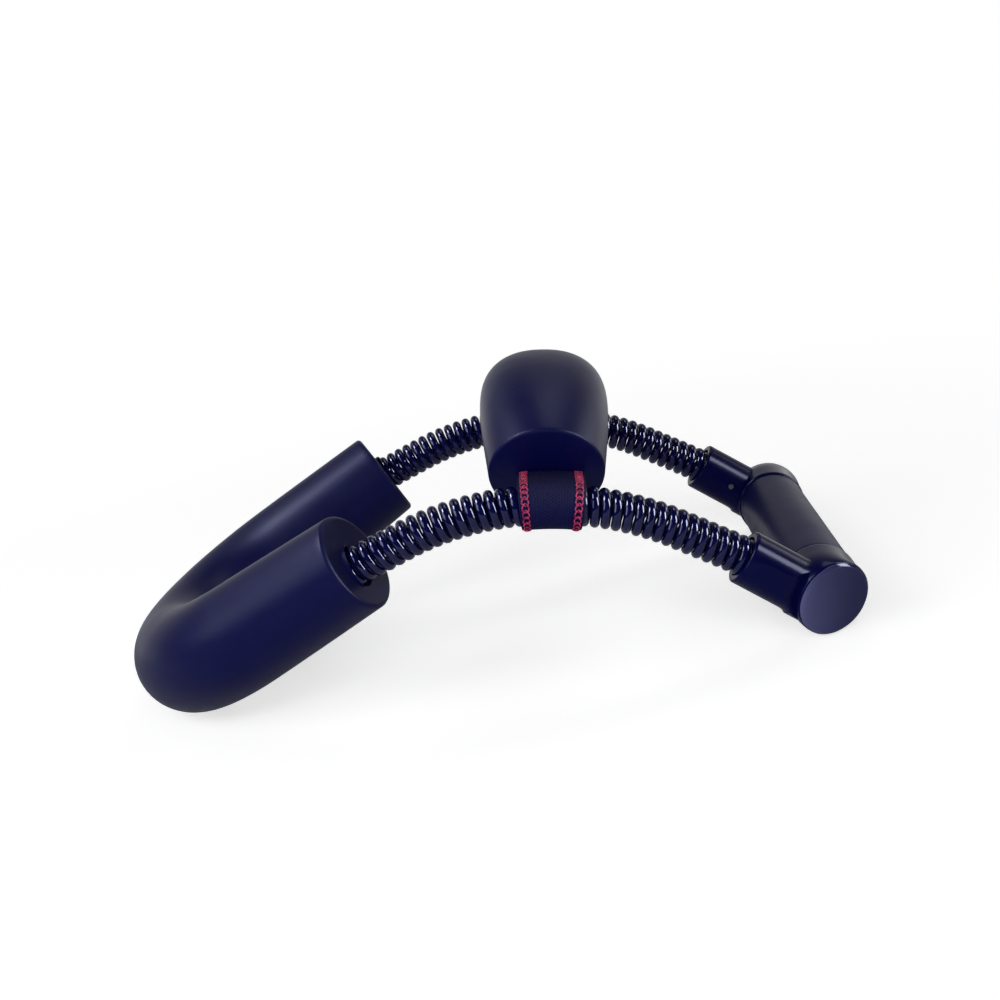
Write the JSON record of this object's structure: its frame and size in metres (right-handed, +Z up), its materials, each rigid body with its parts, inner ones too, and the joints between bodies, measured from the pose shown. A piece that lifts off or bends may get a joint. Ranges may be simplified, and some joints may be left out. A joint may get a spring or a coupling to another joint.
{
  "type": "spring wrist exerciser",
  "caption": "Spring-loaded wrist and forearm exerciser: a U-shaped padded forearm rest and a hand grip joined by coil springs, with an arched wrist pad on a webbing strap.",
  "frame": {"origin": "on the table plane under the middle of the outer box, as the part stands on its rear pad and its end caps", "axes": "+X from the forearm rest towards the hand grip, +Y to the wearer's left with the grip in front, +Z up"},
  "size_m": [0.3128, 0.1796, 0.1209],
  "materials": {
    "foam": "matte closed-cell foam skin, blue-black",
    "grip_foam": "matte closed-cell foam skin, blue-black",
    "enamel": "gloss black enamel on spring steel",
    "moulding": "gloss moulded plastic, blue-black",
    "cap": "satin moulded plastic, slate",
    "webbing": "woven webbing, blue-black with red edge stitching",
    "steel": "plain steel"
  },
  "bodies": {
    "rear_frame": {"rear_pad": "foam", "rear_rod": "steel", "rear_collar_right": "steel", "rear_collar_left": "steel", "rear_pin_right": "steel", "rear_pin_left": "steel"},
    "springs": {"spring_right": "enamel", "spring_left": "enamel"},
    "wrist_pad": {"wrist_strap": "webbing", "arch_pad": "foam"},
    "handle": {"front_plug_right": "steel", "front_plug_left": "steel", "plug_pin_right": "steel", "plug_pin_left": "steel", "elbow_right": "moulding", "elbow_left": "moulding", "end_cap_right": "cap", "end_cap_left": "cap", "handle_axle": "steel", "axle_washer_right": "steel", "axle_washer_left": "steel", "axle_nut_right": "steel", "axle_nut_left": "steel", "grip_tube": "steel", "hand_grip": "grip_foam"}
  },
  "joints": [
    {"name": "rear_flex", "type": "hinge", "parent": "rear_frame", "child": "springs", "pos_m": [-0.00554, 0, 0.07481], "axis": [0, 1, 0], "range_deg": [-12, 35], "stiffness_Nm_per_rad": 12, "deforming": ["spring_right", "spring_left"]},
    {"name": "front_flex", "type": "hinge", "parent": "springs", "child": "handle", "pos_m": [0.08264, 0, 0.05736], "axis": [0, 1, 0], "range_deg": [-12, 35], "stiffness_Nm_per_rad": 12, "deforming": ["spring_right", "spring_left"]},
    {"name": "pad_slide", "type": "hinge", "parent": "springs", "child": "wrist_pad", "pos_m": [0.01622, 0, -0.04676], "axis": [0, 1, 0], "range_deg": [-8, 8]}
  ],
  "couplings": [
    {"joint": "front_flex", "follows": "rear_flex", "ratio": 1}
  ]
}
